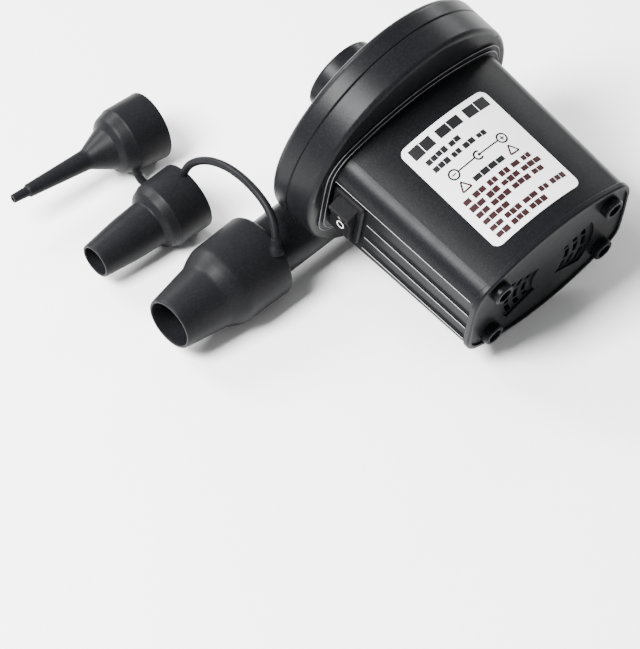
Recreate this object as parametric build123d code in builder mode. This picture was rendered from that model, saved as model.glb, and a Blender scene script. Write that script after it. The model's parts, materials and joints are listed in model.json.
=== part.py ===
"""Electric air mattress pump lying on its back, with three nozzles on moulded tethers."""
import os
from math import asin, atan2, cos, degrees, hypot, pi, radians, sin, tan

from build123d import *

os.makedirs("parts", exist_ok=True)

# ---------------------------------------------------------------- driving dimensions (mm)
# The pump is drawn standing on its base: Z is the motor axis, the intake is up, the label
# faces -Y, the switch faces -X and the outlet leaves along -X. Z = 0 is the parting plane.
wall = 2.2
drum_radius = 50.0
cover_height = 8.5
housing_depth = 11.6
cover_round = 3.0
rim_round = 2.0
parting_chamfer = 0.45

intake_radius = 14.9
intake_bore = 12.6
intake_height = 16.8

outlet_radius = 11.5
outlet_bore = 9.4
outlet_y = 35.5
outlet_end_x = -73.0

flange_step = 0.7
flange_offsets = (3.4, 1.7)
body_half_width = 40.2
body_half_depth = 28.6
body_corner = 11.0
body_crown = 10.4
body_side_bulge = 0.5
draft = 1.2
base_z = -85.0
base_thickness = 2.6
base_bead = 0.8
base_lip = 0.6

panel_recess = 1.1
panel_top = 12.5
panel_bottom = -18.0
rib_width = 0.5
rib_height = 0.7
crest_rib = 12.5
crest_height = 1.3
lower_ribs = (2.4, -5.7, -12.7)

switch_z = -21.0
side_centre = -1.0
bezel_long = 21.8
bezel_short = 14.8
bezel_height = 1.8
rocker_base_long = 16.8
rocker_top_long = 14.6
rocker_short = 9.4

foot_x = 28.0
foot_y = 13.8
foot_radius = 4.3
foot_height = 3.0
foot_recess = 2.9

label_width = 42.8
label_length = 51.3
label_top = -24.5
label_thickness = 0.25
label_x = -0.7

motor_radius = 17.9
motor_length = 50.0
motor_wall = 0.95
shaft_radius = 1.585
shaft_clearance = 0.03
impeller_radius = 36.0
blade_count = 9

tether_radius = 1.55

# Where the drum's centre stands in the finished frame, and how the nozzles lie beside it.
datum_x = 28.0
datum_y = -14.0
# Middle of the whole footprint before it is moved to the origin.
middle_x = 0.8
middle_y = -4.8

body_top_z = -housing_depth - flange_step * len(flange_offsets)
body_bottom_z = base_z + base_thickness
body_length = body_top_z - body_bottom_z
cavity_top = cover_height - wall
floor_top = -housing_depth + wall


def shrink(z):
    """How far the drafted body has drawn in at height z."""
    return (body_top_z - z) * tan(radians(draft))


# The pump lies on the drum's back rim and the base's back edge: the tilt is the slope of
# the line that touches both rounded edges.
edge_run = (-housing_depth + rim_round) - (base_z + base_bead)
base_half_depth = body_half_depth - shrink(base_z) + base_lip
edge_drop = (drum_radius - rim_round) - (base_half_depth - base_bead)
tilt = degrees(
    atan2(edge_drop, edge_run) + asin((rim_round - base_bead) / hypot(edge_run, edge_drop))
)
drum_height = (
    cos(radians(tilt)) * (drum_radius - rim_round)
    + sin(radians(tilt)) * (housing_depth - rim_round)
    + rim_round
)
lying = Location((datum_x, datum_y, drum_height), (tilt - 90, 0, 0))


def outline(half_width, half_depth, corner):
    """Barrel-shaped section of the body, on the XY plane."""
    shoulder = half_depth - body_crown
    with BuildSketch() as section:
        with BuildLine():
            for side in (1, -1):
                ThreePointArc(
                    (-side * half_width, side * shoulder),
                    (0, side * half_depth),
                    (side * half_width, side * shoulder),
                )
                ThreePointArc(
                    (side * half_width, shoulder),
                    (side * (half_width + body_side_bulge), 0),
                    (side * half_width, -shoulder),
                )
        make_face()
        fillet(section.vertices(), corner)
    return section.sketch


def finish(piece, label, place=lying):
    """Stand the piece in the finished frame, name it and write it."""
    piece.part = piece.part.moved(Location((-middle_x, -middle_y, 0)) * place)
    piece.part.label = label
    export_step(piece.part, f"parts/{label}.step")
    return piece


# ---------------------------------------------------------------- drum
cover_screw_angles = (50, 345, 285, 230, 170)
cover_screw_circle = 43.0
cover_post_radius = 3.6
screw_radius = 1.4
screw_head_radius = 2.6
screw_head_height = 1.7
motor_screw_x = 12.5
motor_boss_radius = 6.4

with BuildPart() as front_cover:
    with BuildSketch():
        Circle(drum_radius)
    extrude(amount=cover_height)
    fillet(front_cover.faces().sort_by(Axis.Z)[-1].edges(), cover_round)
    chamfer(front_cover.faces().sort_by(Axis.Z)[0].edges(), parting_chamfer)
    with BuildSketch(Plane.XY.offset(cover_height - 0.5)):
        Circle(intake_radius)
    extrude(amount=intake_height + 0.5)
    fillet(front_cover.faces().sort_by(Axis.Z)[-1].edges(), 1.1)
    with BuildSketch(Plane.YZ.offset(outlet_end_x)):
        with Locations((outlet_y, 0)):
            Circle(outlet_radius)
    extrude(amount=-outlet_end_x)
    with Locations((0, outlet_y, 0)):
        Sphere(outlet_radius)
    with BuildSketch(Plane.XY):
        Rectangle(4 * drum_radius, 4 * drum_radius)
    extrude(amount=-2 * outlet_radius, mode=Mode.SUBTRACT)
    with BuildSketch():
        Circle(drum_radius - wall)
    extrude(amount=cavity_top, mode=Mode.SUBTRACT)
    with BuildSketch(Plane.YZ.offset(outlet_end_x)):
        with Locations((outlet_y, 0)):
            Circle(outlet_bore)
    extrude(amount=-outlet_end_x, mode=Mode.SUBTRACT)
    with Locations((0, outlet_y, 0)):
        Sphere(outlet_bore, mode=Mode.SUBTRACT)
    with BuildSketch():
        for angle in cover_screw_angles:
            with PolarLocations(cover_screw_circle, 1, start_angle=angle):
                Circle(cover_post_radius)
    extrude(amount=cavity_top + 0.5)
    with BuildSketch():
        Circle(intake_bore)
    extrude(amount=cover_height + intake_height, mode=Mode.SUBTRACT)
    # moulded guard across the intake: a ring on three spokes
    with BuildSketch(Plane.XY.offset(cavity_top)):
        Circle(5.6)
        Circle(4.0, mode=Mode.SUBTRACT)
        for angle in (90, 210, 330):
            with PolarLocations((intake_bore + 5.0) / 2, 1, start_angle=angle):
                Rectangle(intake_bore - 4.4, 1.7)
    extrude(amount=wall)
    with Locations((0, 0, cover_height)):
        for angle in cover_screw_angles:
            with PolarLocations(cover_screw_circle, 1, start_angle=angle):
                CounterBoreHole(screw_radius + 0.2, screw_head_radius + 0.2, 2.4)

with BuildPart() as volute_housing:
    with BuildSketch(Plane.XY.offset(-housing_depth)):
        Circle(drum_radius)
    extrude(amount=housing_depth)
    fillet(volute_housing.faces().sort_by(Axis.Z)[0].edges(), rim_round)
    chamfer(volute_housing.faces().sort_by(Axis.Z)[-1].edges(), parting_chamfer)
    for step, spread in enumerate(flange_offsets):
        with BuildSketch(Plane.XY.offset(-housing_depth - flange_step * step)):
            add(outline(body_half_width + spread, body_half_depth + spread, body_corner + spread))
        extrude(amount=-flange_step)
    with BuildSketch(Plane.YZ.offset(outlet_end_x)):
        with Locations((outlet_y, 0)):
            Circle(outlet_radius)
    extrude(amount=-outlet_end_x)
    with BuildSketch(Plane.XY):
        Rectangle(4 * drum_radius, 4 * drum_radius)
    extrude(amount=2 * outlet_radius, mode=Mode.SUBTRACT)
    with BuildSketch(Plane.XY.offset(floor_top)):
        Circle(drum_radius - wall)
    extrude(amount=-floor_top, mode=Mode.SUBTRACT)
    with BuildSketch(Plane.YZ.offset(outlet_end_x)):
        with Locations((outlet_y, 0)):
            Circle(outlet_bore)
    extrude(amount=-outlet_end_x, mode=Mode.SUBTRACT)
    # the flange is hollow under the drum floor, so only its rim meets the body
    with BuildSketch(Plane.XY.offset(body_top_z)):
        add(outline(body_half_width - wall, body_half_depth - wall, body_corner - wall))
    extrude(amount=flange_step * len(flange_offsets), mode=Mode.SUBTRACT)
    with BuildSketch(Plane.XY.offset(floor_top)):
        for angle in cover_screw_angles:
            with PolarLocations(cover_screw_circle, 1, start_angle=angle):
                Circle(cover_post_radius)
    extrude(amount=-floor_top)
    for angle in cover_screw_angles:
        with PolarLocations(cover_screw_circle, 1, start_angle=angle):
            Hole(screw_radius, depth=8.0)
    # motor seat
    with BuildSketch(Plane.XY.offset(floor_top)):
        Circle(motor_boss_radius + 0.1)
    extrude(amount=-4 * wall, mode=Mode.SUBTRACT)
    with Locations((motor_screw_x, 0, floor_top), (-motor_screw_x, 0, floor_top)):
        CounterSinkHole(1.6, 3.0, counter_sink_angle=90)


# ---------------------------------------------------------------- body
def side_plane(side, depth=panel_recess):
    """Plane on a drafted side, depth in from its widest line: x runs down, z points out."""
    lean = radians(draft)
    down = (-side * sin(lean), 0, -cos(lean))
    out = (side * cos(lean), 0, -sin(lean))
    return Plane((side * (body_half_width - depth), 0, body_top_z), x_dir=down, z_dir=out)


def drafted_form(half_width, half_depth, corner):
    """Solid tapering form of the body, from under the drum to the base cap."""
    with BuildPart() as form:
        for z in (body_top_z, body_bottom_z):
            with BuildSketch(Plane.XY.offset(z)):
                add(outline(half_width - shrink(z), half_depth - shrink(z), corner))
        loft(ruled=True)
    return form.part


post_radius = 3.4
post_length = 22.0
foot_places = [(x, y) for x in (-foot_x, foot_x) for y in (-foot_y, foot_y)]
switch_down = body_top_z - switch_z
panel_centre = (panel_top + panel_bottom) / 2
panel_height = panel_top - panel_bottom
rib_start = switch_down + bezel_short / 2 + 1.6
rib_end = body_length - 0.6
rib_run = rib_end - rib_start
core_half_width = body_half_width - wall - panel_recess
core_half_depth = body_half_depth - wall
socket_hole = 5.3

with BuildPart() as body_shell:
    add(drafted_form(body_half_width, body_half_depth, body_corner))
    # the two narrow sides are sunk panels
    for side in (-1, 1):
        with BuildSketch(side_plane(side)):
            with Locations((body_length / 2, -side * panel_centre)):
                Rectangle(2 * body_length, panel_height)
        extrude(amount=2 * panel_recess + body_side_bulge, mode=Mode.SUBTRACT)
    core = drafted_form(core_half_width, core_half_depth, body_corner - wall)
    add(core, mode=Mode.SUBTRACT)
    # the crest rib edges the panel for its whole length, the others start below the switch
    for side in (-1, 1):
        with BuildSketch(side_plane(side)):
            with Locations((rib_end / 2, -side * crest_rib)):
                Rectangle(rib_end, rib_width)
        extrude(amount=crest_height)
        with BuildSketch(side_plane(side)):
            for rib_line in lower_ribs:
                with Locations((rib_start + rib_run / 2, -side * rib_line)):
                    Rectangle(rib_run, rib_width)
        extrude(amount=rib_height)
    # cut-outs for the switch and the power socket
    with BuildSketch(side_plane(-1)):
        with Locations((switch_down, side_centre)):
            Rectangle(bezel_short - 1.2, bezel_long - 2.0)
    extrude(amount=-2 * wall, mode=Mode.SUBTRACT)
    with BuildSketch(side_plane(1)):
        with Locations((switch_down, -side_centre)):
            Circle(socket_hole)
    extrude(amount=-2 * wall, mode=Mode.SUBTRACT)
    # posts for the base screws, webbed to the side walls
    with BuildSketch(Plane.XY.offset(body_bottom_z)):
        with Locations(*foot_places):
            Circle(post_radius)
        for x, y in foot_places:
            with Locations((x + (4.4 if x > 0 else -4.4), y)):
                Rectangle(8.0, 1.6)
    extrude(amount=post_length)
    with Locations(*[Location((x, y, body_bottom_z), (180, 0, 0)) for x, y in foot_places]):
        Hole(screw_radius, depth=14.0)

dish = 0.7
dish_inset = 1.7
vent_y = 3.0
vent_depth = 1.0
vent_margin = 0.8
vent_radii = (19.6, 15.4, 11.2)
slot_width = 2.2
vent_rib_offset = 3.5
vent_rib_width = 1.4


def vent_pocket():
    """Outline of one sunk grille: a slice of a ring about the middle of the base."""
    with BuildSketch() as pocket:
        with BuildLine():
            Line((5.2, -4.6), (20.6, -9.2))
            ThreePointArc((20.6, -9.2), (23.3, 2.8), (18.6, 15.0))
            Line((18.6, 15.0), (5.0, 9.8))
            ThreePointArc((5.0, 9.8), (7.6, 2.6), (5.2, -4.6))
        make_face()
    return pocket.sketch


vent_floor = offset(vent_pocket(), amount=-vent_margin)


def vent_slots():
    """Curved slots of one grille: rings cut by two straight ribs, kept inside the pocket."""
    with BuildSketch() as slots:
        with Locations((0, vent_y)):
            for radius in vent_radii:
                Circle(radius + slot_width / 2)
                Circle(radius - slot_width / 2, mode=Mode.SUBTRACT)
        with Locations((0, vent_y - vent_rib_offset), (0, vent_y + vent_rib_offset)):
            Rectangle(2 * body_half_width, vent_rib_width, mode=Mode.SUBTRACT)
        add(vent_floor, mode=Mode.INTERSECT)
    return slots.sketch


with BuildPart() as base_cap:
    narrow = shrink(base_z) - base_lip
    with BuildSketch(Plane.XY.offset(base_z)):
        add(outline(body_half_width - narrow, body_half_depth - narrow, body_corner))
    extrude(amount=base_thickness)
    fillet(base_cap.faces().sort_by(Axis.Z)[0].edges(), base_bead)
    fillet(base_cap.faces().sort_by(Axis.Z)[-1].edges(), 0.4)
    # shallow dish inside the rounded rim
    inset = narrow + dish_inset
    with BuildSketch(Plane.XY.offset(base_z)):
        add(outline(body_half_width - inset, body_half_depth - inset, body_corner - dish_inset))
    extrude(amount=dish, mode=Mode.SUBTRACT)
    with BuildSketch(Plane.XY.offset(base_z + dish)):
        with Locations(*foot_places):
            Circle(foot_radius)
    extrude(amount=-dish - foot_height)
    fillet(base_cap.edges().group_by(Axis.Z)[0], 0.7)
    with Locations(*[Location((x, y, base_z - foot_height), (180, 0, 0)) for x, y in foot_places]):
        CounterBoreHole(screw_radius + 0.2, foot_recess, foot_height + 1.2)
    with BuildSketch(Plane.XY.offset(base_z)):
        add(vent_pocket())
        mirror(about=Plane.YZ)
    extrude(amount=dish + vent_depth, mode=Mode.SUBTRACT)
    with BuildSketch(Plane.XY.offset(base_z)):
        add(vent_slots())
        mirror(about=Plane.YZ)
    extrude(amount=base_thickness, mode=Mode.SUBTRACT)


def screw(plane, length):
    """Pan-head self-tapping screw: plane is at the head's outer face, z along the shank."""
    with BuildPart() as fastener:
        with BuildSketch(plane):
            Circle(screw_head_radius)
        extrude(amount=screw_head_height)
        fillet(fastener.faces().sort_by(Axis(plane.origin, plane.z_dir))[0].edges(), 0.6)
        with BuildSketch(plane.offset(screw_head_height)):
            Circle(screw_radius - 0.05)
        extrude(amount=length)
        with BuildSketch(plane):
            Rectangle(3.2, 0.7)
            Rectangle(0.7, 3.2)
        extrude(amount=0.9, mode=Mode.SUBTRACT)
    return fastener.part


base_head_z = base_z + 1.2 - screw_head_height
cover_head_z = cover_height - 2.4 + screw_head_height
with BuildPart() as base_screws:
    for x, y in foot_places:
        add(screw(Plane((x, y, base_head_z)), 11.0))

with BuildPart() as cover_screws:
    for angle in cover_screw_angles:
        x = cover_screw_circle * cos(radians(angle))
        y = cover_screw_circle * sin(radians(angle))
        add(screw(Plane((x, y, cover_head_z), z_dir=(0, 0, -1)), 11.0))

with BuildPart() as label:
    skin = label_thickness
    add(drafted_form(body_half_width + skin, body_half_depth + skin, body_corner))
    add(drafted_form(body_half_width, body_half_depth, body_corner), mode=Mode.SUBTRACT)
    with BuildSketch(Plane.XZ):
        with Locations((label_x, label_top - label_length / 2)):
            RectangleRounded(label_width, label_length, 3.0)
    extrude(amount=2 * body_half_depth, mode=Mode.INTERSECT)

# ---------------------------------------------------------------- switch
pivot_depth = 0.8
rocker_tilt = 11.0
rocker_end_height = 6.5
rocker_dip = 1.6
rocker_keel = 1.6
trunnion_radius = 0.9
well_depth = 4.8
switch_depth = 12.4
terminal_length = 4.8
switch_plane = side_plane(-1)
switch_middle = switch_plane.from_local_coords((switch_down, side_centre, 0))
pivot_point = switch_plane.from_local_coords((switch_down, side_centre, -pivot_depth))
seat_plane = Plane(switch_middle, x_dir=switch_plane.x_dir, z_dir=switch_plane.z_dir)

with BuildPart() as switch_body:
    with BuildSketch(seat_plane):
        RectangleRounded(bezel_short, bezel_long, 1.2)
    extrude(amount=bezel_height)
    chamfer(switch_body.faces().sort_by(Axis(switch_middle, seat_plane.z_dir))[-1].edges(), 0.6)
    with BuildSketch(seat_plane):
        Rectangle(bezel_short - 1.6, bezel_long - 2.4)
    extrude(amount=-switch_depth)
    with BuildSketch(seat_plane.offset(bezel_height)):
        Rectangle(rocker_short + 0.6, rocker_base_long + 0.8)
    extrude(amount=-bezel_height - well_depth, mode=Mode.SUBTRACT)
    with BuildSketch(Plane(pivot_point, x_dir=seat_plane.y_dir, z_dir=seat_plane.x_dir)):
        Circle(trunnion_radius + 0.05)
    extrude(amount=bezel_short, both=True, mode=Mode.SUBTRACT)

rocker_plane = Plane(pivot_point, x_dir=seat_plane.y_dir, z_dir=seat_plane.x_dir)
# its label-side end is the raised one
rocker_plane = rocker_plane.rotated((0, 0, -rocker_tilt))
with BuildPart() as switch_rocker:
    with BuildSketch(rocker_plane) as rocker_side:
        with BuildLine():
            Polyline(
                (-rocker_base_long / 2, -rocker_keel),
                (-rocker_top_long / 2, rocker_end_height),
                (0, rocker_end_height - rocker_dip),
                (rocker_top_long / 2, rocker_end_height),
                (rocker_base_long / 2, -rocker_keel),
                close=True,
            )
        make_face()
        fillet(rocker_side.vertices().sort_by(Axis.Y)[-2:], 0.5)
    extrude(amount=rocker_short / 2, both=True)
    with BuildSketch(rocker_plane):
        Circle(trunnion_radius)
    extrude(amount=rocker_short / 2 + 0.9, both=True)

with BuildPart() as switch_terminals:
    with BuildSketch(seat_plane.offset(-switch_depth)):
        with GridLocations(0, 8.0, 1, 2):
            Rectangle(4.8, 0.8)
    extrude(amount=-terminal_length)

# ---------------------------------------------------------------- power socket
socket_depth = 12.0
socket_bore = 3.0
socket_plane = side_plane(1)
socket_middle = socket_plane.from_local_coords((switch_down, -side_centre, 0))
socket_seat = Plane(socket_middle, x_dir=socket_plane.x_dir, z_dir=socket_plane.z_dir)

with BuildPart() as socket_body:
    with BuildSketch(socket_seat):
        Circle(7.0)
    extrude(amount=1.6)
    chamfer(socket_body.faces().sort_by(Axis(socket_middle, socket_seat.z_dir))[-1].edges(), 0.5)
    with BuildSketch(socket_seat):
        Circle(socket_hole - 0.1)
    extrude(amount=-socket_depth)
    with BuildSketch(socket_seat.offset(1.6)):
        Circle(socket_bore)
    extrude(amount=-1.6 - socket_depth + 2.0, mode=Mode.SUBTRACT)

with BuildPart() as socket_pin:
    with BuildSketch(socket_seat.offset(-socket_depth + 2.0)):
        Circle(1.0)
    extrude(amount=8.6)
    fillet(socket_pin.faces().sort_by(Axis(socket_middle, socket_seat.z_dir))[-1].edges(), 0.5)

with BuildPart() as socket_terminals:
    with BuildSketch(socket_seat.offset(-socket_depth)):
        with GridLocations(0, 6.0, 1, 2):
            Rectangle(3.0, 0.6)
    extrude(amount=-terminal_length)

# ---------------------------------------------------------------- motor
can_top = -housing_depth
can_bottom = can_top - motor_length
bell_thickness = 2.6
bell_boss = 3.0
bush_radius = 4.4
bush_bore = shaft_radius + shaft_clearance
magnet_inner = 12.4
magnet_span = 130
core_radius = 11.6
core_top = -25.0
core_length = 22.0
slot_count = 5
slot_radius = 2.7
slot_circle = 7.4
coil_end = 3.6
commutator_radius = 4.2
commutator_top = core_top - core_length - 5.6
commutator_length = 6.6
brush_gap = 0.25

with BuildPart() as motor_can:
    with BuildSketch(Plane.XY.offset(can_top)):
        Circle(motor_radius)
    extrude(amount=-motor_length)
    fillet(motor_can.faces().sort_by(Axis.Z)[-1].edges(), 0.9)
    with BuildSketch(Plane.XY.offset(can_top - motor_wall)):
        Circle(motor_radius - motor_wall)
    extrude(amount=-motor_length, mode=Mode.SUBTRACT)
    with BuildSketch(Plane.XY.offset(can_top - motor_wall)):
        Circle(motor_boss_radius)
    extrude(amount=motor_wall + wall - 0.2)
    with BuildSketch(Plane.XY.offset(can_top - 2 * wall)):
        Circle(bush_radius)
    extrude(amount=4 * wall, mode=Mode.SUBTRACT)
    with Locations((motor_screw_x, 0, can_top), (-motor_screw_x, 0, can_top)):
        Hole(1.3, depth=2.0)

with BuildPart() as front_bush:
    with BuildSketch(Plane.XY.offset(can_top - motor_wall - 1.6)):
        Circle(bush_radius)
        Circle(bush_bore, mode=Mode.SUBTRACT)
    extrude(amount=motor_wall + 1.6 + wall - 0.4)

with BuildPart() as motor_end_bell:
    with BuildSketch(Plane.XY.offset(can_bottom)):
        Circle(motor_radius - motor_wall)
    extrude(amount=bell_thickness)
    with BuildSketch(Plane.XY.offset(can_bottom)):
        Circle(motor_radius)
    extrude(amount=-1.8)
    with BuildSketch(Plane.XY.offset(can_bottom - 1.8)):
        Circle(6.2)
    extrude(amount=-bell_boss)
    with BuildSketch(Plane.XY.offset(can_bottom - 1.8 - bell_boss + 1.0)):
        Circle(bush_radius)
    extrude(amount=20.0, mode=Mode.SUBTRACT)
    for side in (-1, 1):
        with BuildSketch(Plane.XY.offset(can_bottom + bell_thickness)):
            with Locations((0, side * 11.0)):
                Rectangle(2.2, 5.4)
        extrude(amount=-20.0, mode=Mode.SUBTRACT)

with BuildPart() as rear_bush:
    with BuildSketch(Plane.XY.offset(can_bottom - 1.8 - bell_boss + 1.0)):
        Circle(bush_radius)
        Circle(bush_bore, mode=Mode.SUBTRACT)
    extrude(amount=5.0)

with BuildPart() as motor_shaft:
    with BuildSketch(Plane.XY.offset(can_bottom - 1.8 - bell_boss + 1.4)):
        Circle(shaft_radius)
    extrude(amount=motor_length + bell_boss + 1.8 - 1.4 + housing_depth + 1.4)
    chamfer(motor_shaft.faces().sort_by(Axis.Z)[-1].edges(), 0.3)

with BuildPart() as field_magnets:
    for side in (0, 180):
        with BuildSketch(Plane.XY.offset(core_top + 2.0)):
            with BuildLine():
                CenterArc((0, 0), motor_radius - motor_wall, side - magnet_span / 2, magnet_span)
                CenterArc((0, 0), magnet_inner, side - magnet_span / 2, magnet_span)
                for edge in (-1, 1):
                    angle = radians(side + edge * magnet_span / 2)
                    Line(
                        (magnet_inner * cos(angle), magnet_inner * sin(angle)),
                        (
                            (motor_radius - motor_wall) * cos(angle),
                            (motor_radius - motor_wall) * sin(angle),
                        ),
                    )
            make_face()
        extrude(amount=-core_length - 4.0)

with BuildPart() as armature_core:
    with BuildSketch(Plane.XY.offset(core_top)):
        Circle(core_radius)
        with PolarLocations(slot_circle, slot_count):
            Circle(slot_radius, mode=Mode.SUBTRACT)
        with PolarLocations(core_radius, slot_count):
            Rectangle(2 * slot_radius, 1.4, mode=Mode.SUBTRACT)
        Circle(shaft_radius, mode=Mode.SUBTRACT)
    extrude(amount=-core_length)

with BuildPart() as armature_windings:
    with BuildSketch(Plane.XY.offset(core_top + coil_end)):
        with PolarLocations(slot_circle, slot_count):
            Circle(slot_radius - 0.1)
    extrude(amount=-core_length - 2 * coil_end)
    for start in (core_top + 0.1, core_top - core_length - coil_end):
        with BuildSketch(Plane.XY.offset(start)):
            Circle(slot_circle + slot_radius - 0.3)
            Circle(slot_circle - slot_radius, mode=Mode.SUBTRACT)
        extrude(amount=coil_end - 0.1)

with BuildPart() as commutator:
    with BuildSketch(Plane.XY.offset(commutator_top)):
        Circle(commutator_radius)
        Circle(shaft_radius, mode=Mode.SUBTRACT)
        with PolarLocations(commutator_radius, slot_count, start_angle=36):
            Rectangle(2.0, 0.5, mode=Mode.SUBTRACT)
    extrude(amount=-commutator_length)

with BuildPart() as motor_brushes:
    for side in (-1, 1):
        with BuildSketch(Plane.XY.offset(commutator_top - 0.8)):
            with Locations((0, side * (commutator_radius + brush_gap + 2.6))):
                Rectangle(3.6, 5.2)
        extrude(amount=-commutator_length + 1.8)

with BuildPart() as motor_terminals:
    for side in (-1, 1):
        with BuildSketch(Plane.XY.offset(can_bottom + bell_thickness + 0.6)):
            with Locations((0, side * 11.0)):
                Rectangle(0.8, 4.4)
        extrude(amount=-bell_thickness - 8.0)

with BuildPart() as motor_screws:
    for side in (-1, 1):
        with BuildSketch(Plane((side * motor_screw_x, 0, floor_top), z_dir=(0, 0, -1))):
            Circle(2.9)
        extrude(amount=1.35, taper=45)
        with BuildSketch(Plane((side * motor_screw_x, 0, floor_top - 1.2), z_dir=(0, 0, -1))):
            Circle(1.25)
        extrude(amount=3.4)
        with BuildSketch(Plane((side * motor_screw_x, 0, floor_top), z_dir=(0, 0, -1))):
            Rectangle(3.0, 0.6)
            Rectangle(0.6, 3.0)
        extrude(amount=0.8, mode=Mode.SUBTRACT)

# ---------------------------------------------------------------- impeller
plate_bottom = floor_top + 1.1
plate_thickness = 1.4
blade_height = 10.4
hub_radius = 6.0

with BuildSketch() as blade:
    with BuildLine():
        ThreePointArc((9.0, 0.0), (22.5, 3.6), (33.6, 12.6))
        Line((33.6, 12.6), (34.4, 11.2))
        ThreePointArc((34.4, 11.2), (23.0, 2.0), (9.0, -1.5))
        Line((9.0, -1.5), (9.0, 0.0))
    make_face()

with BuildPart() as impeller:
    with BuildSketch(Plane.XY.offset(plate_bottom)):
        Circle(impeller_radius)
    extrude(amount=plate_thickness)
    with BuildSketch(Plane.XY.offset(plate_bottom)):
        with PolarLocations(0, blade_count):
            add(blade.sketch)
    extrude(amount=plate_thickness + blade_height)
    with BuildSketch(Plane.XY.offset(plate_bottom)):
        Circle(hub_radius)
    extrude(amount=plate_thickness + blade_height - 1.0)
    with BuildSketch(Plane.XY.offset(plate_bottom)):
        Circle(shaft_radius)
    extrude(amount=2 * blade_height, mode=Mode.SUBTRACT)


# ---------------------------------------------------------------- nozzles
# Each soft nozzle is turned about its own axis, rear to tip, as (along, radius).
nozzle_bore = outlet_radius + 0.05
socket_length = 15.6
large_outside = (
    (0, 15.4),
    (1.0, 16.4),
    (2.6, 16.7),
    (21.4, 16.3),
    (24.4, 15.2),
    (28.4, 13.3),
    (46.3, 10.5),
    (47.0, 10.0),
)
large_inside = ((0, nozzle_bore), (socket_length, nozzle_bore), (18.0, 9.8), (47.0, 9.2))
medium_outside = (
    (0, 13.0),
    (0.7, 13.6),
    (14.4, 13.2),
    (17.4, 11.8),
    (18.8, 10.2),
    (19.9, 9.2),
    (31.1, 8.6),
    (45.0, 6.9),
    (45.5, 6.5),
)
medium_inside = ((0, nozzle_bore), (socket_length, nozzle_bore), (20.2, 7.6), (45.5, 5.8))
small_outside = (
    (0, 12.9),
    (0.7, 13.5),
    (14.2, 12.9),
    (18.0, 11.4),
    (20.0, 9.8),
    (21.3, 8.4),
    (30.0, 4.0),
    (56.6, 2.6),
    (57.1, 2.0),
    (62.8, 1.7),
    (63.3, 1.3),
)
small_inside = ((0, nozzle_bore), (socket_length, nozzle_bore), (21.4, 6.4), (30.4, 2.6), (63.3, 0.8))
tip_slot_width = 1.0
tip_slot_length = 3.6


def turned(outside, inside):
    """Hollow nozzle turned about Z, its rear mouth at the origin."""
    with BuildPart() as tube:
        with BuildSketch(Plane.XZ):
            with BuildLine():
                Polyline(
                    *[(radius, along) for along, radius in outside],
                    *[(radius, along) for along, radius in reversed(inside)],
                    close=True,
                )
            make_face()
        revolve(axis=Axis.Z)
    return tube.part


def nozzle_plane(rear, heading, rise, resting_ring):
    """Plane of a loose nozzle that rests on one ring of its collar, its tip raised by rise."""
    along, radius = resting_ring
    lift = radians(rise)
    turn = radians(heading)
    height = radius * cos(lift) - along * sin(lift)
    ahead = (cos(turn) * cos(lift), sin(turn) * cos(lift), sin(lift))
    return Plane((rear[0], rear[1], height), x_dir=(-sin(turn), cos(turn), 0), z_dir=ahead)


medium_taper = degrees(
    atan2(medium_outside[1][1] - medium_outside[2][1], medium_outside[2][0] - medium_outside[1][0])
)
large_plane = Plane((outlet_end_x + socket_length, outlet_y, 0), z_dir=(-1, 0, 0))
medium_plane = nozzle_plane((-24.5, 41.3), 177.0, -medium_taper, medium_outside[1])
small_plane = nozzle_plane((-8.4, 79.1), 173.2, 3.5, small_outside[1])

with BuildPart() as nozzle_large:
    add(turned(large_outside, large_inside))

with BuildPart() as nozzle_medium:
    add(turned(medium_outside, medium_inside))

with BuildPart() as nozzle_small:
    add(turned(small_outside, small_inside))
    # slot through the fine tip, for pinch valves
    with BuildSketch(Plane.YZ):
        with Locations((0, 60.0)):
            SlotOverall(tip_slot_length, tip_slot_width, rotation=90)
    extrude(amount=5.0, both=True, mode=Mode.SUBTRACT)

# ---------------------------------------------------------------- tethers
# Soft straps moulded to the collars, root to root, in the frame the object lies in.
large_to_medium = (
    (-31.9, -15.0, 27.8),
    (-31.0, -14.4, 31.2),
    (-29.0, -12.6, 34.4),
    (-27.1, -9.6, 37.8),
    (-25.7, -5.2, 40.6),
    (-24.6, 1.1, 42.7),
    (-23.5, 8.9, 43.3),
    (-22.7, 17.9, 42.4),
    (-22.7, 26.6, 39.8),
    (-23.5, 33.1, 36.3),
    (-24.7, 37.2, 32.8),
    (-25.9, 39.2, 29.4),
    (-26.5, 40.2, 26.2),
)
medium_to_small = (
    (-29.4, 50.8, 7.8),
    (-27.2, 52.3, 6.4),
    (-24.7, 53.6, 4.6),
    (-22.2, 55.4, 2.9),
    (-21.0, 58.2, 1.9),
    (-21.6, 61.2, 1.7),
    (-23.2, 63.8, 1.8),
    (-24.6, 66.4, 2.4),
    (-25.0, 68.8, 4.0),
    (-24.8, 70.4, 6.2),
    (-24.3, 71.6, 8.2),
)


def strap(route, name):
    """Round strap along a route, each arc as large as its two runs allow."""
    points = [Vector(*point) for point in route]
    radii = []
    for before, here, after in zip(points, points[1:], points[2:]):
        shorter = min((here - before).length, (after - here).length)
        turn = radians((here - before).get_angle(after - here))
        radii.append(0.45 * shorter / tan(turn / 2))
    with BuildPart() as tube:
        with BuildLine() as path:
            line = FilletPolyline(*points, radius=radii)
        with BuildSketch(Plane(line @ 0, z_dir=line % 0)):
            Circle(tether_radius)
        sweep(path=path.line)
    ratio = tube.part.volume / (pi * tether_radius**2 * line.length)
    print(name, "length", round(line.length, 1), "volume ratio", round(ratio, 4))
    print(name, "radii", [round(radius, 1) for radius in radii])
    return tube.part


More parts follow.
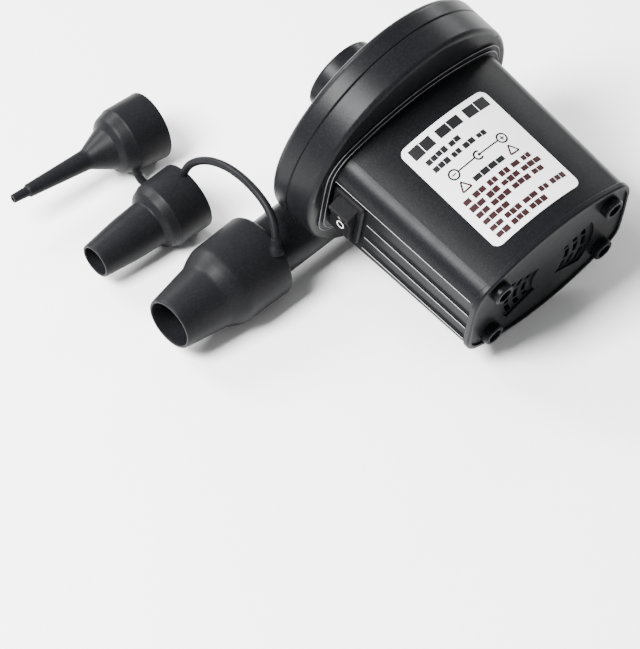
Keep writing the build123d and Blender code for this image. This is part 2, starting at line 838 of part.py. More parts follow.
def solid_form(outside, place, clearance=0.0):
    """Filled outer form of a nozzle where it lies, its radii larger by clearance."""
    grown = [(along, radius + clearance) for along, radius in outside]
    return turned(grown, ((0, 0), (outside[-1][0], 0))).moved(place)


# Each strap is cut back to its own collar's face, and a little clear of the collar that
# swivels on its other end.
swivel_gap = 0.35
large_place = lying * large_plane.location
medium_place = medium_plane.location
small_place = small_plane.location

with BuildPart() as tether_large:
    add(strap(large_to_medium, "tether_large"))
    add(solid_form(large_outside, large_place), mode=Mode.SUBTRACT)
    add(solid_form(medium_outside, medium_place, swivel_gap), mode=Mode.SUBTRACT)

with BuildPart() as tether_small:
    add(strap(medium_to_small, "tether_small"))
    add(solid_form(medium_outside, medium_place), mode=Mode.SUBTRACT)
    add(solid_form(small_outside, small_place, swivel_gap), mode=Mode.SUBTRACT)

finish(nozzle_large, "nozzle_large", large_place)
finish(nozzle_medium, "nozzle_medium", medium_place)
finish(nozzle_small, "nozzle_small", small_place)
finish(tether_large, "tether_large", Location())
finish(tether_small, "tether_small", Location())

for piece, name in (
    (front_cover, "front_cover"),
    (volute_housing, "volute_housing"),
    (body_shell, "body_shell"),
    (base_cap, "base_cap"),
    (base_screws, "base_screws"),
    (cover_screws, "cover_screws"),
    (label, "label"),
    (switch_body, "switch_body"),
    (switch_rocker, "switch_rocker"),
    (switch_terminals, "switch_terminals"),
    (socket_body, "socket_body"),
    (socket_pin, "socket_pin"),
    (socket_terminals, "socket_terminals"),
    (motor_can, "motor_can"),
    (front_bush, "front_bush"),
    (motor_end_bell, "motor_end_bell"),
    (rear_bush, "rear_bush"),
    (motor_shaft, "motor_shaft"),
    (field_magnets, "field_magnets"),
    (armature_core, "armature_core"),
    (armature_windings, "armature_windings"),
    (commutator, "commutator"),
    (motor_brushes, "motor_brushes"),
    (motor_terminals, "motor_terminals"),
    (motor_screws, "motor_screws"),
    (impeller, "impeller"),
):
    finish(piece, name)
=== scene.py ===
"""Looks for an electric air mattress pump that lies label upward beside its tethered nozzles."""

import json
from math import ceil, cos, pi, radians, sin, sqrt, tan
from random import Random

import bpy
from mathutils import Matrix, Vector
from mathutils.geometry import convex_hull_2d


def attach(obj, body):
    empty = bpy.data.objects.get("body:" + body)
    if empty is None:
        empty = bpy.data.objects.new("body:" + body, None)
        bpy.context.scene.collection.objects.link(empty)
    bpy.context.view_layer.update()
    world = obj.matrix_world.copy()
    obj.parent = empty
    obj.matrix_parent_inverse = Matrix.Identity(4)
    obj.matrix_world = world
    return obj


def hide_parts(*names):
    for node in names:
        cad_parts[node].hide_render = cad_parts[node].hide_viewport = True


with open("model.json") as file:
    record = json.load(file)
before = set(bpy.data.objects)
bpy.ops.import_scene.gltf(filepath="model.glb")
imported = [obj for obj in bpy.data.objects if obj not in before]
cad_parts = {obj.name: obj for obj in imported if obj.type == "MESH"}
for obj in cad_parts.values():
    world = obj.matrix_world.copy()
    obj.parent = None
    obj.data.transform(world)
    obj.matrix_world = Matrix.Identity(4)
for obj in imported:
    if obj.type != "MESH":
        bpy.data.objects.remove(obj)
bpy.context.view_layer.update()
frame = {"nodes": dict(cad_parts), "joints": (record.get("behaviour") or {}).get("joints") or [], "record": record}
joints = {joint["name"]: joint for joint in frame["joints"]}
mounts = {mount["name"]: mount for mount in frame["record"]["mounts"]}
MM = 0.001

# ------------------------------------------------------------------ the pump's own directions
# across: towards the power socket; up: along the motor axis to the intake; out: through the label
across = Vector((1, 0, 0))
up = Vector(joints["motor_spin"]["axis"]).normalized()
out = across.cross(up)
PARTING_ABOVE_JOINT = 36 * MM
parting = Vector(joints["motor_spin"]["pos_m"]) + PARTING_ABOVE_JOINT * up


def pump_point(x, outward, height):
    """Point of the pump, in mm from the motor axis and the parting plane."""
    return parting + MM * (x * across + outward * out + height * up)


# ------------------------------------------------------------------ camera
CAMERA_FROM = Vector((-1.10636, -1.38315, 1.80496))
CAMERA_LOOK = Vector((0.43008, 0.54204, -0.72196)).normalized()
CAMERA_ROLL = radians(-7.76)
LENS = 380.8
SENSOR_WIDTH = 36
FAR_CLIP = 20

camera_data = bpy.data.cameras.new("camera")
camera = bpy.data.objects.new("camera", camera_data)
bpy.context.scene.collection.objects.link(camera)
bpy.context.scene.camera = camera
camera_data.lens = LENS
camera_data.sensor_width = SENSOR_WIDTH
camera_data.clip_end = FAR_CLIP
level = CAMERA_LOOK.to_track_quat("-Z", "Y").to_matrix().to_4x4()
camera.matrix_world = Matrix.Translation(CAMERA_FROM) @ level @ Matrix.Rotation(CAMERA_ROLL, 4, "Z")


# ------------------------------------------------------------------ materials
# Sizes in metres; tones are (main colour, paler colour); the paler colour goes into specks, patches and the edges,
# which are partly wear and partly a painted edge highlight.
BEVEL_SAMPLES = 6
# Flatness range over which edges turn paler: partly wear, partly a painted edge highlight.
EDGE_WEAR_AND_HIGHLIGHT = (0.80, 0.995)
PATCH_SIZE = 14 * MM
PATCH_SHARE = 0.10
SPECK_SIZE_PER_GRAIN = 0.9
SPECK_SHARE = 0.34
SPECK_BAND = (0.46, 0.70)
SHEEN_SIZE = 9 * MM
SHEEN_BELOW = 0.02
SHEEN_ABOVE = 0.03


def new_material(name):
    """New Principled material, its node tree and its shader."""
    material = bpy.data.materials.new(name)
    material.use_nodes = True
    shader = material.node_tree.nodes["Principled BSDF"]
    return material, material.node_tree, shader


def noise(tree, where, size, detail):
    """Noise whose features are about size metres across."""
    node = tree.nodes.new("ShaderNodeTexNoise")
    node.inputs["Scale"].default_value = 1 / size
    node.inputs["Detail"].default_value = detail
    tree.links.new(where, node.inputs["Vector"])
    return node.outputs["Fac"]


def ranged(tree, value, low, high, start=0.3, stop=0.7):
    """Value spread from start..stop to low..high, kept inside it."""
    node = tree.nodes.new("ShaderNodeMapRange")
    node.inputs["From Min"].default_value = start
    node.inputs["From Max"].default_value = stop
    node.inputs["To Min"].default_value = low
    node.inputs["To Max"].default_value = high
    tree.links.new(value, node.inputs["Value"])
    return node.outputs["Result"]


def mixed(tree, factor, first, second):
    """Colour between first and second."""
    node = tree.nodes.new("ShaderNodeMix")
    node.data_type = "RGBA"
    tree.links.new(factor, node.inputs["Factor"])
    for socket, colour in ((node.inputs[6], first), (node.inputs[7], second)):
        if isinstance(colour, tuple):
            socket.default_value = (*colour, 1)
        else:
            tree.links.new(colour, socket)
    return node.outputs[2]


def moulded(name, colour, pale_tone, roughness, grain, grain_height, edge, metal=0.0, gloss=0.5):
    """Moulded or rolled surface: specks, grain, uneven sheen and paler edges of radius edge, partly wear and
    partly a painted highlight along every edge.
    """
    material, tree, shader = new_material(name)
    where = tree.nodes.new("ShaderNodeTexCoord").outputs["Object"]
    bevel = tree.nodes.new("ShaderNodeBevel")
    bevel.samples = BEVEL_SAMPLES
    bevel.inputs["Radius"].default_value = edge
    geometry = tree.nodes.new("ShaderNodeNewGeometry")
    flatness = tree.nodes.new("ShaderNodeVectorMath")
    flatness.operation = "DOT_PRODUCT"
    tree.links.new(bevel.outputs["Normal"], flatness.inputs[0])
    tree.links.new(geometry.outputs["Normal"], flatness.inputs[1])
    # Edges turn paler: partly wear, partly a painted highlight along every edge.
    edge_wear_and_highlight = ranged(tree, flatness.outputs["Value"], 1.0, 0.0, *EDGE_WEAR_AND_HIGHLIGHT)
    patches = ranged(tree, noise(tree, where, PATCH_SIZE, 3), 0.0, PATCH_SHARE)
    speck_noise = noise(tree, where, SPECK_SIZE_PER_GRAIN * grain, 1)
    specks = ranged(tree, speck_noise, 0.0, SPECK_SHARE, *SPECK_BAND)
    tone = mixed(tree, specks, mixed(tree, patches, colour, pale_tone), pale_tone)
    tree.links.new(mixed(tree, edge_wear_and_highlight, tone, pale_tone), shader.inputs["Base Color"])
    sheen_noise = noise(tree, where, SHEEN_SIZE, 4)
    sheen = ranged(tree, sheen_noise, roughness - SHEEN_BELOW, roughness + SHEEN_ABOVE)
    tree.links.new(sheen, shader.inputs["Roughness"])
    shader.inputs["Metallic"].default_value = metal
    shader.inputs["Specular IOR Level"].default_value = gloss
    bump = tree.nodes.new("ShaderNodeBump")
    bump.inputs["Strength"].default_value = 1.0
    bump.inputs["Distance"].default_value = grain_height
    tree.links.new(noise(tree, where, grain, 3), bump.inputs["Height"])
    tree.links.new(bevel.outputs["Normal"], bump.inputs["Normal"])
    tree.links.new(bump.outputs["Normal"], shader.inputs["Normal"])
    return material


SHELL_TONES = (0.0034, 0.0036, 0.0042), (0.013, 0.014, 0.016)
VINYL_TONES = (0.0036, 0.0037, 0.0044), (0.012, 0.012, 0.014)
SWITCH_TONES = (0.0034, 0.0034, 0.0038), (0.024, 0.024, 0.026)
BLACK_INK = (0.004, 0.004, 0.005), (0.008, 0.008, 0.008)
MAROON_INK = (0.016, 0.003, 0.004), (0.03, 0.008, 0.008)
# Pale strips on the rib tops: a painted highlight.
RIB_HIGHLIGHT_TONES = (0.32, 0.32, 0.33), (0.42, 0.42, 0.43)
PAPER_TONES = (0.74, 0.74, 0.75), (0.80, 0.80, 0.81)
WHITE_INK = (0.62, 0.62, 0.61), (0.50, 0.50, 0.49)
ZINC_TONES = (0.17, 0.17, 0.18), (0.30, 0.30, 0.30)
STEEL_TONES = (0.46, 0.46, 0.47), (0.60, 0.60, 0.60)
BRASS_TONES = (0.62, 0.50, 0.26), (0.75, 0.66, 0.42)
BRONZE_TONES = (0.42, 0.29, 0.16), (0.52, 0.40, 0.25)
COPPER_TONES = (0.50, 0.20, 0.09), (0.62, 0.30, 0.16)
NYLON_TONES = (0.62, 0.61, 0.57), (0.70, 0.69, 0.66)
FERRITE_TONES = (0.02, 0.02, 0.022), (0.05, 0.05, 0.05)
CARBON_TONES = (0.02, 0.02, 0.02), (0.05, 0.05, 0.05)
FAN_TONES = (0.03, 0.03, 0.033), (0.06, 0.06, 0.06)
shell = moulded("shell", *SHELL_TONES, 0.34, 0.70 * MM, 0.030 * MM, 0.22 * MM, gloss=0.066)
vinyl = moulded("vinyl", *VINYL_TONES, 0.45, 0.70 * MM, 0.034 * MM, 0.35 * MM, gloss=0.07)
switch = moulded("switch", *SWITCH_TONES, 0.36, 0.30 * MM, 0.008 * MM, 0.20 * MM, gloss=0.035)
# Pale painted highlight laid along the rib tops.
rib_highlight = moulded("painted_rib_highlight", *RIB_HIGHLIGHT_TONES, 0.30, 0.5 * MM, 0.004 * MM, 0.1 * MM)
paper = moulded("label_film", *PAPER_TONES, 0.42, 0.60 * MM, 0.006 * MM, 0.1 * MM)
dark_print = moulded("dark_print", *BLACK_INK, 0.5, 0.3 * MM, 0.004 * MM, 0.1 * MM, gloss=0.2)
red_print = moulded("red_print", *MAROON_INK, 0.5, 0.3 * MM, 0.004 * MM, 0.1 * MM, gloss=0.2)
white_print = moulded("white_print", *WHITE_INK, 0.45, 0.3 * MM, 0.006 * MM, 0.1 * MM)
zinc = moulded("zinc", *ZINC_TONES, 0.36, 0.5 * MM, 0.010 * MM, 0.2 * MM, 1.0)
steel = moulded("steel", *STEEL_TONES, 0.33, 0.8 * MM, 0.008 * MM, 0.2 * MM, 1.0)
brass = moulded("brass", *BRASS_TONES, 0.32, 0.6 * MM, 0.008 * MM, 0.2 * MM, 1.0)
bronze = moulded("bronze", *BRONZE_TONES, 0.45, 0.3 * MM, 0.020 * MM, 0.2 * MM, 1.0)
copper = moulded("copper", *COPPER_TONES, 0.30, 0.5 * MM, 0.040 * MM, 0.2 * MM, 1.0)
nylon = moulded("nylon", *NYLON_TONES, 0.45, 0.5 * MM, 0.015 * MM, 0.3 * MM)
ferrite = moulded("ferrite", *FERRITE_TONES, 0.60, 0.3 * MM, 0.030 * MM, 0.2 * MM)
carbon = moulded("carbon", *CARBON_TONES, 0.55, 0.2 * MM, 0.020 * MM, 0.2 * MM)
grey_fan = moulded("grey_fan", *FAN_TONES, 0.42, 0.5 * MM, 0.020 * MM, 0.3 * MM)

finishes = {
    "shell_plastic": shell,
    "soft_vinyl": vinyl,
    "switch_plastic": switch,
    "label_film": paper,
    "zinc_screw": zinc,
    "motor_steel": steel,
    "terminal_brass": brass,
    "bush_bronze": bronze,
    "bell_nylon": nylon,
    "ferrite": ferrite,
    "copper_wire": copper,
    "carbon": carbon,
    "impeller_plastic": grey_fan,
}
slots = {part["node"]: part["material_slot"] for part in frame["record"]["subparts"]}
for node, piece in frame["nodes"].items():
    piece.data.materials.clear()
    piece.data.materials.append(finishes[slots[node]])


# ------------------------------------------------------------------ mesh helpers
def mesh_piece(name, vertices, faces, material, smooth=True):
    """New mesh object from points in the row frame."""
    mesh = bpy.data.meshes.new(name)
    mesh.from_pydata([tuple(vertex) for vertex in vertices], [], faces)
    mesh.materials.append(material)
    mesh.polygons.foreach_set("use_smooth", [smooth] * len(mesh.polygons))
    mesh.update()
    piece = bpy.data.objects.new(name, mesh)
    bpy.context.scene.collection.objects.link(piece)
    return piece


def ring_faces(rings, sides):
    """Faces of a closed tube of rings, each of so many sides, whose last ring meets the first."""
    faces = []
    for ring in range(rings):
        here = ring * sides
        following = (ring + 1) % rings * sides
        for side in range(sides):
            beside = (side + 1) % sides
            faces.append((here + side, here + beside, following + beside, following + side))
    return faces


def strip_faces(first, cuts):
    """Faces of a strip of point pairs that starts at vertex first."""
    bases = [first + 2 * cut for cut in range(cuts)]
    return [(base, base + 1, base + 3, base + 2) for base in bases]


CORNER_STEPS = 5
CORNER_SHARE = 0.45
SHARPEST_CORNER = 0.01
NOZZLE_SEGMENTS = 144


def rounded(profile):
    """Closed profile of (along, radius, rounding), its corners turned into short curves."""
    points = []
    count = len(profile)
    for index, (along, radius, rounding) in enumerate(profile):
        here = Vector((along, radius))
        before = Vector(profile[index - 1][:2]) - here
        after = Vector(profile[(index + 1) % count][:2]) - here
        reach = min(rounding, CORNER_SHARE * before.length, CORNER_SHARE * after.length)
        if reach < SHARPEST_CORNER:
            points.append(here)
            continue
        start = here + reach * before.normalized()
        end = here + reach * after.normalized()
        for step in range(CORNER_STEPS + 1):
            t = step / CORNER_STEPS
            points.append((1 - t) ** 2 * start + 2 * t * (1 - t) * here + t * t * end)
    return points


def axes_of(ahead):
    """Two directions square to ahead."""
    side = ahead.cross(Vector((0, 0, 1))).normalized()
    return side, side.cross(ahead)


def turned(name, profile, rear, ahead, material, segments=NOZZLE_SEGMENTS):
    """Surface of revolution about ahead, through a closed profile in mm."""
    side, above = axes_of(ahead)
    points = rounded(profile)
    vertices = []
    for point in points:
        for segment in range(segments):
            angle = 2 * pi * segment / segments
            spoke = cos(angle) * side + sin(angle) * above
            vertices.append(rear + MM * (point.x * ahead + point.y * spoke))
    return mesh_piece(name, vertices, ring_faces(len(points), segments), material)


# ------------------------------------------------------------------ tethers
# Control points in mm in the row frame, from collar to collar.
LARGE_TO_MEDIUM = (
    (-32.7, -10.2, 27.8),
    (-31.8, -9.6, 31.2),
    (-29.8, -7.8, 34.4),
    (-27.9, -4.8, 37.8),
    (-26.5, -0.4, 40.6),
    (-25.4, 5.9, 42.7),
    (-24.3, 13.7, 43.3),
    (-23.5, 22.7, 42.4),
    (-23.5, 31.4, 39.8),
    (-24.3, 37.9, 36.3),
    (-25.5, 42.0, 32.8),
    (-26.7, 44.0, 29.4),
    (-27.3, 45.0, 26.2),
)
MEDIUM_TO_SMALL = (
    (-30.2, 55.6, 7.8),
    (-28.0, 57.1, 6.4),
    (-25.5, 58.4, 4.6),
    (-23.0, 60.2, 2.9),
    (-21.8, 63.0, 1.9),
    (-22.4, 66.0, 1.7),
    (-24.0, 68.6, 1.8),
    (-25.4, 71.2, 2.4),
    (-25.8, 73.6, 4.0),
    (-25.6, 75.2, 6.2),
    (-25.1, 76.4, 8.2),
)
TETHER_RADIUS = 1.55 * MM


def tether(name, route, body, node):
    """Soft round strap on one smooth curve, held by a collar at each end."""
    curve = bpy.data.curves.new(name, "CURVE")
    curve.dimensions = "3D"
    curve.bevel_depth = TETHER_RADIUS
    curve.bevel_resolution = 8
    curve.resolution_u = 12
    spline = curve.splines.new("NURBS")
    spline.points.add(len(route) - 1)
    for point, place in zip(spline.points, route):
        point.co = (*(MM * value for value in place), 1)
    spline.order_u = 3
    spline.use_endpoint_u = True
    curve.materials.append(vinyl)
    piece = bpy.data.objects.new(name, curve)
    bpy.context.scene.collection.objects.link(piece)
    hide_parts(node)
    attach(piece, body)


tether("tether_large_strap", LARGE_TO_MEDIUM, "large_nozzle", "tether_large")
tether("tether_small_strap", MEDIUM_TO_SMALL, "medium_nozzle", "tether_small")

# ------------------------------------------------------------------ nozzles
# Profiles in mm from the rear mouth: (along, radius, rounding), outside then inside.
NOZZLE_BORE = 11.55
large_profile = (
    (0, 15.6, 1.2),
    (1.2, 16.7, 1.6),
    (21.6, 16.3, 1.2),
    (24.6, 15.2, 0.8),
    (28.4, 13.3, 1.0),
    (46.0, 10.55, 0.5),
    (47.0, 10.3, 0.5),
    (47.0, 9.2, 0.4),
    (18.0, 9.8, 0.4),
    (15.6, NOZZLE_BORE, 0.3),
    (0, NOZZLE_BORE, 0.5),
)
medium_profile = (
    (0, 13.5, 0.7),
    (14.2, 13.25, 0.35),
    (14.7, 12.95, 0.3),
    (17.6, 11.8, 0.7),
    (19.6, 9.3, 0.5),
    (31.1, 8.6, 2.5),
    (44.6, 6.95, 0.4),
    (45.5, 6.8, 0.4),
    (45.5, 5.8, 0.4),
    (20.2, 7.6, 0.4),
    (15.6, NOZZLE_BORE, 0.3),
    (0, NOZZLE_BORE, 0.4),
)
small_profile = (
    (0, 13.4, 0.7),
    (14.0, 12.95, 0.35),
    (14.5, 12.65, 0.3),
    (18.6, 11.2, 0.8),
    (20.6, 8.6, 0.5),
    (30.0, 4.0, 1.0),
    (56.3, 2.6, 0.3),
    (56.9, 2.0, 0.2),
    (63.3, 1.7, 0.8),
    (63.3, 0.8, 0.2),
    (30.4, 2.6, 0.4),
    (21.4, 6.4, 0.4),
    (15.6, NOZZLE_BORE, 0.3),
    (0, NOZZLE_BORE, 0.4),
)
SOCKET_MIDDLE = 7.8 * MM
LARGE_LENGTH = 47.0 * MM


def loose_nozzle(mount):
    """Rear mouth and heading of a loose nozzle, from its socket's mount."""
    ahead = -Vector(mounts[mount]["axis"])
    return Vector(mounts[mount]["pos_m"]) - SOCKET_MIDDLE * ahead, ahead


large_ahead = Vector(mounts["large_tip"]["axis"])
large_rear = Vector(mounts["large_tip"]["pos_m"]) - LARGE_LENGTH * large_ahead
medium_rear, medium_ahead = loose_nozzle("medium_socket")
small_rear, small_ahead = loose_nozzle("small_socket")
for size, profile, rear, ahead in (
    ("large", large_profile, large_rear, large_ahead),
    ("medium", medium_profile, medium_rear, medium_ahead),
    ("small", small_profile, small_rear, small_ahead),
):
    nozzle = turned(f"nozzle_{size}_moulding", profile, rear, ahead, vinyl)
    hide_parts(f"nozzle_{size}")
    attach(nozzle, f"{size}_nozzle")

# ------------------------------------------------------------------ strap roots
ROOT_SUNK = 0.8
ROOT_CORE = 0.4
ROOT_SKIN = 0.03
ROOT_SEGMENTS = 48


def strap_root(name, foot, toward, body, reach, wide):
    """Flared base of a strap at foot, in mm, reaching along the strap and wide at the collar."""
    ahead = (Vector(toward) - Vector(foot)).normalized()
    strap = TETHER_RADIUS / MM
    profile = (
        (-ROOT_SUNK, wide, 0.2),
        (0.22 * reach, 0.70 * wide + 0.30 * strap, 1.2),
        (0.55 * reach, 0.25 * wide + 0.75 * strap, 1.4),
        (reach, strap + ROOT_SKIN, 0.15),
        (reach, ROOT_CORE, 0.1),
        (-ROOT_SUNK, ROOT_CORE, 0.1),
    )
    root = turned(name, profile, MM * Vector(foot), ahead, vinyl, ROOT_SEGMENTS)
    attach(root, body)


strap_root("strap_root_large", *LARGE_TO_MEDIUM[:2], "large_nozzle", 5.2, 3.2)
strap_root("strap_root_medium", *MEDIUM_TO_SMALL[:2], "medium_nozzle", 2.4, 2.3)

# ------------------------------------------------------------------ label print
# The body's measures in mm; the draft leans every wall in towards the base.
BODY_TOP = -13.0
DRAFT_ANGLE = radians(1.2)
HALF_WIDTH = 40.2
HALF_DEPTH = 28.6
CROWN = 10.4
LABEL_SKIN = 0.33
MARK_CUT = 1.6
RING_CUT_DEGREES = 9
FEWEST_RING_CUTS = 8
WORD_BREAK = 0.16
WORD_UNEVENNESS = 0.14
WORD_GAP = 0.95
WORD_SHARES = (0.7, 1.4)


def on_label(x, height):
    """Point just above the label's film, x mm across and height mm along the motor axis."""
    drawn_in = (BODY_TOP - height) * tan(DRAFT_ANGLE)
    half = HALF_WIDTH - drawn_in
    radius = (half * half + CROWN * CROWN) / (2 * CROWN)
    depth = HALF_DEPTH - drawn_in - radius + sqrt(radius * radius - x * x)
    return pump_point(x, depth + LABEL_SKIN, height)


class Print:
    """Ink marks of one colour, laid on the curved label as one mesh."""

    def __init__(self):
        self.vertices = []
        self.faces = []

    def quad(self, a, b, c, d):
        """Four-cornered mark, cut up along a-b so that it follows the curve."""
        a, b, c, d = (Vector(corner) for corner in (a, b, c, d))
        cuts = max(1, ceil((b - a).length / MARK_CUT))
        first = len(self.vertices)
        for cut in range(cuts + 1):
            t = cut / cuts
            for low, high in ((a, b), (d, c)):
                self.vertices.append(on_label(*low.lerp(high, t)))
        self.faces += strip_faces(first, cuts)

    def bar(self, left, right, top, bottom):
        """Upright rectangle."""
        self.quad((left, bottom), (right, bottom), (right, top), (left, top))

    def stroke(self, start, end, width):
        """Straight line of ink."""
        start, end = Vector(start), Vector(end)
        side = (end - start).normalized() * width / 2
        side = Vector((-side.y, side.x))
        self.quad(start - side, end - side, end + side, start + side)

    def ring(self, x, height, radius, width, start=0, stop=360):
        """Round line of ink, from start to stop degrees."""
        steps = max(FEWEST_RING_CUTS, int((stop - start) / RING_CUT_DEGREES))
        for step in range(steps):
            one = radians(start + (stop - start) * step / steps)
            two = radians(start + (stop - start) * (step + 1) / steps)
            inner, outer = radius - width / 2, radius + width / 2
            self.quad(
                (x + inner * cos(one), height + inner * sin(one)),
                (x + outer * cos(one), height + outer * sin(one)),
                (x + outer * cos(two), height + outer * sin(two)),
                (x + inner * cos(two), height + inner * sin(two)),
            )

    def greeked(self, left, right, top, tall, pitch, chance):
        """Stand-in for a word: a solid bar with a few thin breaks, which spells nothing."""
        count = max(1, round((right - left) / (2 * pitch)))
        cell = (right - left) / count
        for index in range(count):
            start = left + index * cell
            stop = start + cell - WORD_BREAK * pitch
            above = tall * chance.uniform(0.0, WORD_UNEVENNESS)
            below = tall * chance.uniform(0.0, WORD_UNEVENNESS)
            self.bar(start, stop, top - above, top - tall + below)

    def finish(self, name, material):
        """The marks as one piece on the pump."""
        piece = mesh_piece(name, self.vertices, self.faces, material, smooth=False)
        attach(piece, "pump_body")


def line_of_words(ink, left, right, top, tall, pitch, words, chance):
    """A line of greeked words that fills left to right."""
    shares = [chance.uniform(*WORD_SHARES) for word in range(words)]
    gap = WORD_GAP * pitch
    room = right - left - gap * (words - 1)
    here = left
    for share in shares:
        width = room * share / sum(shares)
        ink.greeked(here, here + width, top, tall, pitch, chance)
        here += width + gap


chance = Random(12)
black = Print()
maroon = Print()
line_of_words(black, -19.4, 18.8, -26.4, 4.9, 2.35, 3, chance)
line_of_words(black, -17.6, -1.0, -33.4, 2.5, 1.3, 2, chance)
line_of_words(black, -17.6, 8.2, -37.3, 2.5, 1.3, 4, chance)

# Polarity diagram of the power socket: minus left, open contact in the middle, plus right.
DIAGRAM = -44.4
MINUS_X = -13.4
PLUS_X = 10.7
SIGN_HALF = 1.0
PIN_X = -0.9
for sign_x in (MINUS_X, PLUS_X):
    black.ring(sign_x, DIAGRAM, 1.95, 0.72)
black.ring(-1.4, DIAGRAM, 1.7, 0.75, 50, 310)
black.ring(PIN_X, DIAGRAM, 0.32, 0.62)
black.stroke((-11.4, DIAGRAM), (-3.1, DIAGRAM), 0.6)
black.stroke((PIN_X, DIAGRAM), (8.7, DIAGRAM), 0.6)
for sign_x in (MINUS_X, PLUS_X):
    black.stroke((sign_x - SIGN_HALF, DIAGRAM), (sign_x + SIGN_HALF, DIAGRAM), 0.5)
black.stroke((PLUS_X, DIAGRAM - SIGN_HALF), (PLUS_X, DIAGRAM + SIGN_HALF), 0.5)
line_of_words(black, -9.6, 5.6, -49.4, 2.6, 1.9, 1, chance)

TRIANGLE_HALF = 2.1
TRIANGLE_BASE = -51.8
TRIANGLE_TIP = -48.0
for middle in (-13.8, 10.2):
    left_corner = (middle - TRIANGLE_HALF, TRIANGLE_BASE)
    right_corner = (middle + TRIANGLE_HALF, TRIANGLE_BASE)
    tip = (middle, TRIANGLE_TIP)
    for start, end in ((left_corner, right_corner), (right_corner, tip), (tip, left_corner)):
        maroon.stroke(start, end, 0.7)

LINES_LEFT = -18.8
for top, right, words in (
    (-54.2, 14.5, 6),
    (-57.5, 16.2, 4),
    (-60.9, 14.3, 4),
    (-64.2, -6.6, 1),
    (-67.7, 18.8, 5),
    (-71.1, 5.8, 3),
):
    line_of_words(maroon, LINES_LEFT, right, top, 2.5, 1.42, words, chance)
black.finish("label_marks_dark", dark_print)
maroon.finish("label_marks_maroon", red_print)

# ------------------------------------------------------------------ rib crests, painted with a pale highlight strip
# A rib is (place towards the label, depth in from the side, start below the body's top), in mm.
LONG_RIB = (12.5, -0.2, 0.4)
SHORT_RIB_DEPTH = 0.4
SHORT_RIB_START = 17.2
SHORT_RIBS = (2.4, -5.7, -12.7)
RIB_END = 68.3
RIB_CUTS = 12
RIB_HALF = 0.16
RIB_PROUD = 0.03


def on_side(side, label_way, depth, down):
    """Point on a rib's top, depth in from the switch side (-1) or the socket side (1)."""
    x = side * (HALF_WIDTH - depth - down * sin(DRAFT_ANGLE) + RIB_PROUD)
    return pump_point(x, label_way, BODY_TOP - down * cos(DRAFT_ANGLE))


rib_highlight_points = []
rib_highlight_faces = []
for side in (-1, 1):
    short_ribs = [(label_way, SHORT_RIB_DEPTH, SHORT_RIB_START) for label_way in SHORT_RIBS]
    for label_way, depth, start in (LONG_RIB, *short_ribs):
        rib_highlight_faces += strip_faces(len(rib_highlight_points), RIB_CUTS)
        for cut in range(RIB_CUTS + 1):
            down = start + (RIB_END - start) * cut / RIB_CUTS
            rib_highlight_points.append(on_side(side, label_way - RIB_HALF, depth, down))
            rib_highlight_points.append(on_side(side, label_way + RIB_HALF, depth, down))
# One mesh of pale strips that paint the highlight along the rib tops.
rib_highlight_strips = mesh_piece("painted_rib_highlights", rib_highlight_points, rib_highlight_faces, rib_highlight)
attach(rib_highlight_strips, "pump_body")

# ------------------------------------------------------------------ flange edges, painted with pale highlight beads
FLANGE_EDGES = (-12.3, -13.0)
EDGE_RADIUS = 0.13
BEAD_SIDES = 6
SAME_HEIGHT = 0.02
# Pale beads along the flange steps: a painted highlight.
FLANGE_HIGHLIGHT_TONES = (0.15, 0.15, 0.16), (0.20, 0.20, 0.21)
painted_flange_highlight = moulded("painted_flange_highlight", *FLANGE_HIGHLIGHT_TONES, 0.30, 0.5 * MM, 0.004 * MM, 0.1 * MM)


def edge_loop(node, height):
    """Outer edge of a node at one height along the motor axis, as (x, outward) in mm, in order.

    The outline is convex, so its hull is the outer edge and leaves out the step inside it.
    """
    points = []
    for vertex in frame["nodes"][node].data.vertices:
        offset = (vertex.co - parting) / MM
        if abs(offset.dot(up) - height) < SAME_HEIGHT:
            points.append(Vector((offset.dot(across), offset.dot(out))))
    return [points[index] for index in convex_hull_2d(points)]


for index, height in enumerate(FLANGE_EDGES):
    loop = edge_loop("volute_housing", height)
    bead_points = []
    for x, outward in loop:
        away = Vector((x, outward)).normalized()
        for corner in range(BEAD_SIDES):
            angle = 2 * pi * corner / BEAD_SIDES
            reach = EDGE_RADIUS * cos(angle)
            lift = EDGE_RADIUS * sin(angle)
            bead_points.append(pump_point(x + reach * away.x, outward + reach * away.y, height + lift))
    bead_faces = ring_faces(len(loop), BEAD_SIDES)
    # Pale bead that paints the highlight along one flange step.
    bead = mesh_piece(f"flange_edge_{index + 1}", bead_points, bead_faces, painted_flange_highlight)
    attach(bead, "pump_body")

# ------------------------------------------------------------------ rocker marks
ROCKER_TILT = radians(11)
CREASE_HEIGHT = 4.9
END_HEIGHT = 6.5
TOP_HALF = 7.3
MARK_PROUD = 0.03
RING_STEPS = 48
RING_MIDDLE = 2.5
RING_RADII = (1.25, 1.75)
BAR_START = 2.2
BAR_END = 5.4
BAR_HALF = 0.25
hinge = Vector(joints["rocker_tilt"]["pos_m"])
rocker_down = -Vector(joints["rocker_tilt"]["axis"]).normalized()
rocker_out = rocker_down.cross(out).normalized()
along_rocker = cos(ROCKER_TILT) * out + sin(ROCKER_TILT) * rocker_out
off_rocker = cos(ROCKER_TILT) * rocker_out - sin(ROCKER_TILT) * out


def on_rocker(half, from_crease, aside):
    """Point just above a rocker half: 1 is the raised, label-side half and -1 the pressed one."""
    slope = Vector((half * TOP_HALF, END_HEIGHT - CREASE_HEIGHT)).normalized()
    normal = Vector((-slope.y, slope.x)) * half
    flat = Vector((0, CREASE_HEIGHT)) + from_crease * slope + MARK_PROUD * normal
    return hinge + MM * (flat.x * along_rocker + flat.y * off_rocker + aside * rocker_down)


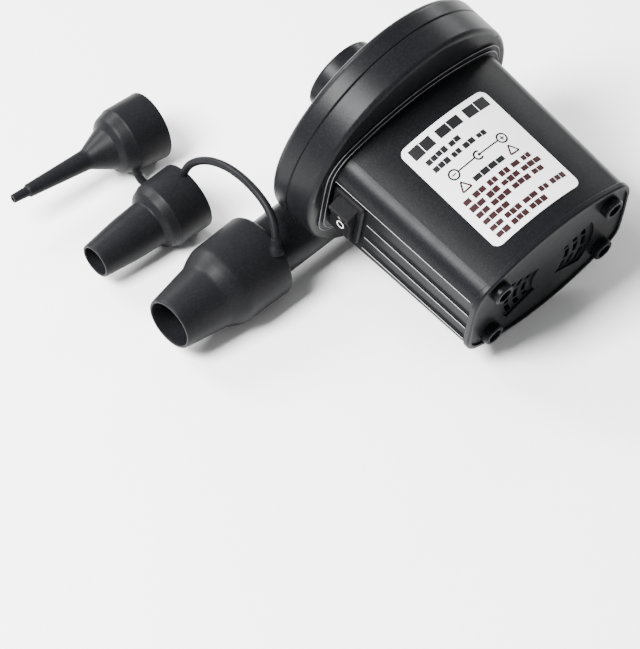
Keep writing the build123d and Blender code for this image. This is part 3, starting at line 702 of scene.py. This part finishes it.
mark_points = []
mark_faces = []
for step in range(RING_STEPS):
    angle = 2 * pi * step / RING_STEPS
    for radius in RING_RADII:
        mark_points.append(on_rocker(-1, RING_MIDDLE + radius * cos(angle), radius * sin(angle)))
    following = (step + 1) % RING_STEPS
    mark_faces.append((2 * step, 2 * step + 1, 2 * following + 1, 2 * following))
first = len(mark_points)
for from_crease, aside in (
    (BAR_START, -BAR_HALF),
    (BAR_END, -BAR_HALF),
    (BAR_END, BAR_HALF),
    (BAR_START, BAR_HALF),
):
    mark_points.append(on_rocker(1, from_crease, aside))
mark_faces.append((first, first + 1, first + 2, first + 3))
marks = mesh_piece("rocker_marks", mark_points, mark_faces, white_print, smooth=False)
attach(marks, "rocker")

# ------------------------------------------------------------------ floor and light
FLOOR_HALF = 3.0
FLOOR_CORNERS = [(FLOOR_HALF * x, FLOOR_HALF * y, 0) for x, y in ((-1, -1), (1, -1), (1, 1), (-1, 1))]
FLOOR_TONES = (0.90, 0.90, 0.90), (0.92, 0.92, 0.92)
floor_finish = moulded("floor", *FLOOR_TONES, 0.70, 3 * MM, 0.01 * MM, 0.1 * MM)
floor = mesh_piece("floor", FLOOR_CORNERS, [(0, 1, 2, 3)], floor_finish)

AMBIENT = 0.6
world = bpy.data.worlds.new("studio")
world.use_nodes = True
background = world.node_tree.nodes["Background"]
background.inputs["Color"].default_value = (1, 1, 1, 1)
background.inputs["Strength"].default_value = AMBIENT
bpy.context.scene.world = world


LIGHT_AIM = Vector((0, 0, 0.03))


def area_light(name, place, size, power):
    """Soft square lamp at place, size metres wide, pointed at the pump."""
    lamp = bpy.data.lights.new(name, "AREA")
    lamp.size = size
    lamp.energy = power
    holder = bpy.data.objects.new(name, lamp)
    bpy.context.scene.collection.objects.link(holder)
    turn = (LIGHT_AIM - Vector(place)).to_track_quat("-Z", "Y").to_matrix().to_4x4()
    holder.matrix_world = Matrix.Translation(place) @ turn


area_light("key", (-0.68, 0.10, 0.98), 0.50, 75)
area_light("back", (-0.15, 1.1, 0.9), 0.5, 40)
area_light("side", (1.3, 0.5, 0.5), 0.4, 13)
